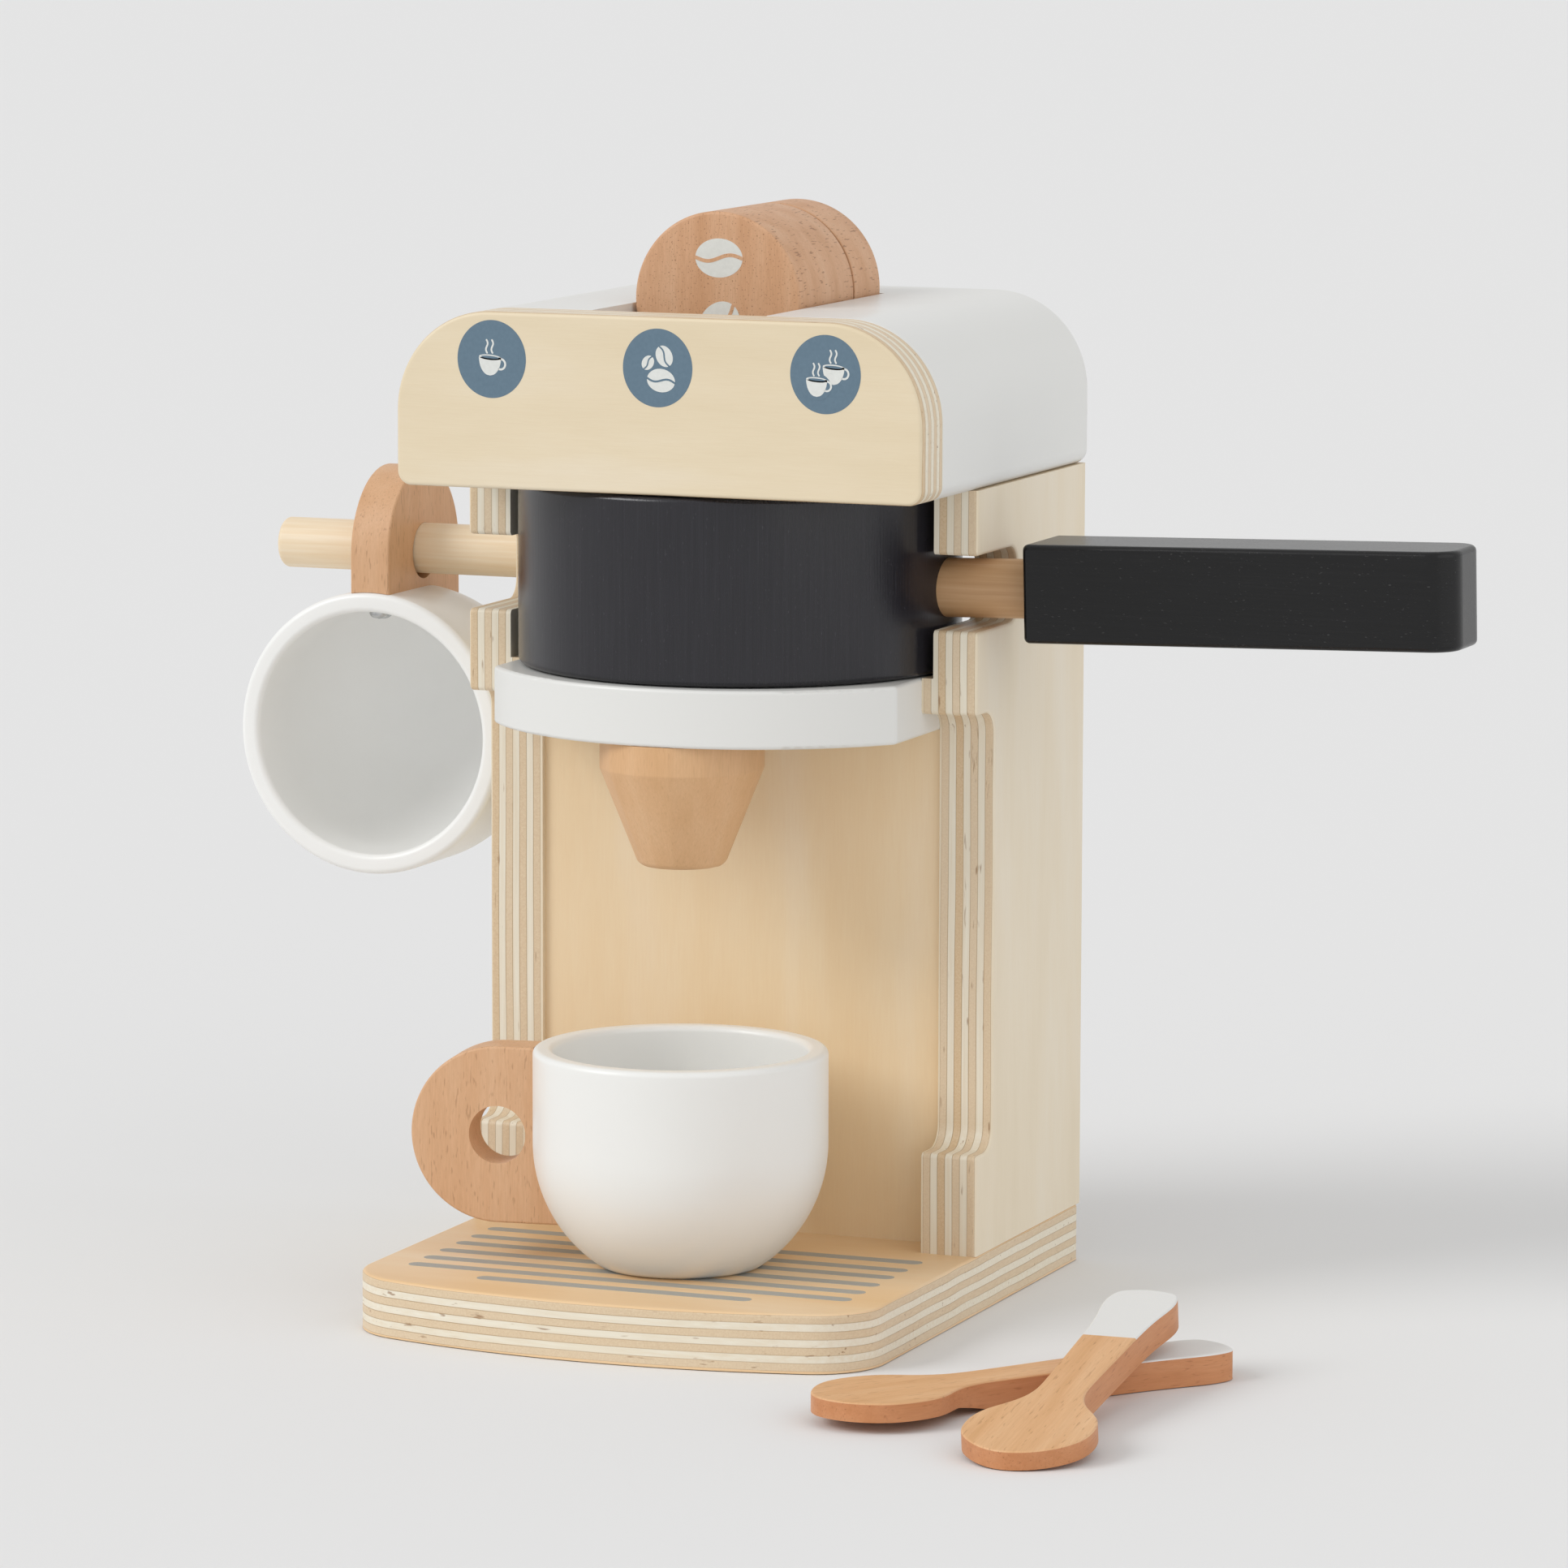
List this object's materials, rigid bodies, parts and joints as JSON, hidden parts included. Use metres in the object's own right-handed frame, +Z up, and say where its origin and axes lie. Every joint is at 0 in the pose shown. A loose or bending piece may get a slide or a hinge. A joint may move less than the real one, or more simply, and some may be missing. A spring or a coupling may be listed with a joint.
{
  "type": "toy coffee maker",
  "caption": "Wooden toy espresso machine with a turning handled drum, a capsule slot on top, a peg for hanging a cup, a tray cup and spoons.",
  "frame": {"origin": "on the floor under the middle of the base plate", "axes": "+Z up, -Y towards the front of the machine, +X towards the side with the drum's handle"},
  "size_m": [0.2756, 0.1964, 0.2257],
  "materials": {
    "birch_ply": "clear satin varnish over birch plywood, open plies on the edges",
    "white_paint": "white satin paint on wood",
    "black_paint": "black satin paint on wood, fine grain",
    "beech": "oiled beech with short dark flecks",
    "maple_dowel": "clear satin dowel",
    "steel_screw": "zinc plated steel"
  },
  "bodies": {
    "machine": {"base_plate": "birch_ply", "left_side_panel": "birch_ply", "right_side_panel": "birch_ply", "splash_panel": "birch_ply", "head_front_plate": "birch_ply", "drum_shelf": "white_paint", "head_body": "white_paint", "nozzle": "beech", "nozzle_screw": "steel_screw", "cup_peg": "maple_dowel", "base_screws": "steel_screw", "head_dowels": "beech", "plate_dowels": "beech", "shelf_dowels": "beech", "splash_dowels": "beech"},
    "portafilter": {"portafilter_drum": "black_paint", "portafilter_dowel": "maple_dowel", "portafilter_grip": "black_paint"},
    "capsule_back": {"capsule_back": "beech"},
    "capsule_front": {"capsule_front": "beech"},
    "tray_cup": {"tray_cup_bowl": "white_paint", "tray_cup_ear": "beech", "tray_cup_screw": "steel_screw"},
    "hanging_cup": {"hanging_cup_bowl": "white_paint", "hanging_cup_ear": "beech", "hanging_cup_screw": "steel_screw"},
    "spoon_lower": {"spoon_lower": "beech"},
    "spoon_upper": {"spoon_upper": "beech"}
  },
  "joints": [
    {"name": "portafilter_turn", "type": "hinge", "parent": "machine", "child": "portafilter", "pos_m": [0, 0.01425, 0.14805], "axis": [0, 0, 1], "range_deg": [-90, 5]},
    {"name": "capsule_back_lift", "type": "slide", "parent": "machine", "child": "capsule_back", "axis": [0, 0, 1], "range_m": [0, 0.04]},
    {"name": "capsule_front_lift", "type": "slide", "parent": "machine", "child": "capsule_front", "axis": [0, 0, 1], "range_m": [0, 0.04]},
    {"name": "tray_cup_lift", "type": "slide", "parent": "machine", "child": "tray_cup", "axis": [0, 0, 1], "range_m": [0, 0.03]},
    {"name": "hanging_cup_swing", "type": "hinge", "parent": "machine", "child": "hanging_cup", "pos_m": [-0.0882, 0.04075, 0.1492], "axis": [1, 0, 0], "range_deg": [-35, 35]},
    {"name": "spoon_lower_lift", "type": "slide", "parent": "machine", "child": "spoon_lower", "axis": [0, 0, 1], "range_m": [0, 0.05]},
    {"name": "spoon_upper_lift", "type": "slide", "parent": "spoon_lower", "child": "spoon_upper", "axis": [0, 0, 1], "range_m": [0, 0.05]}
  ]
}
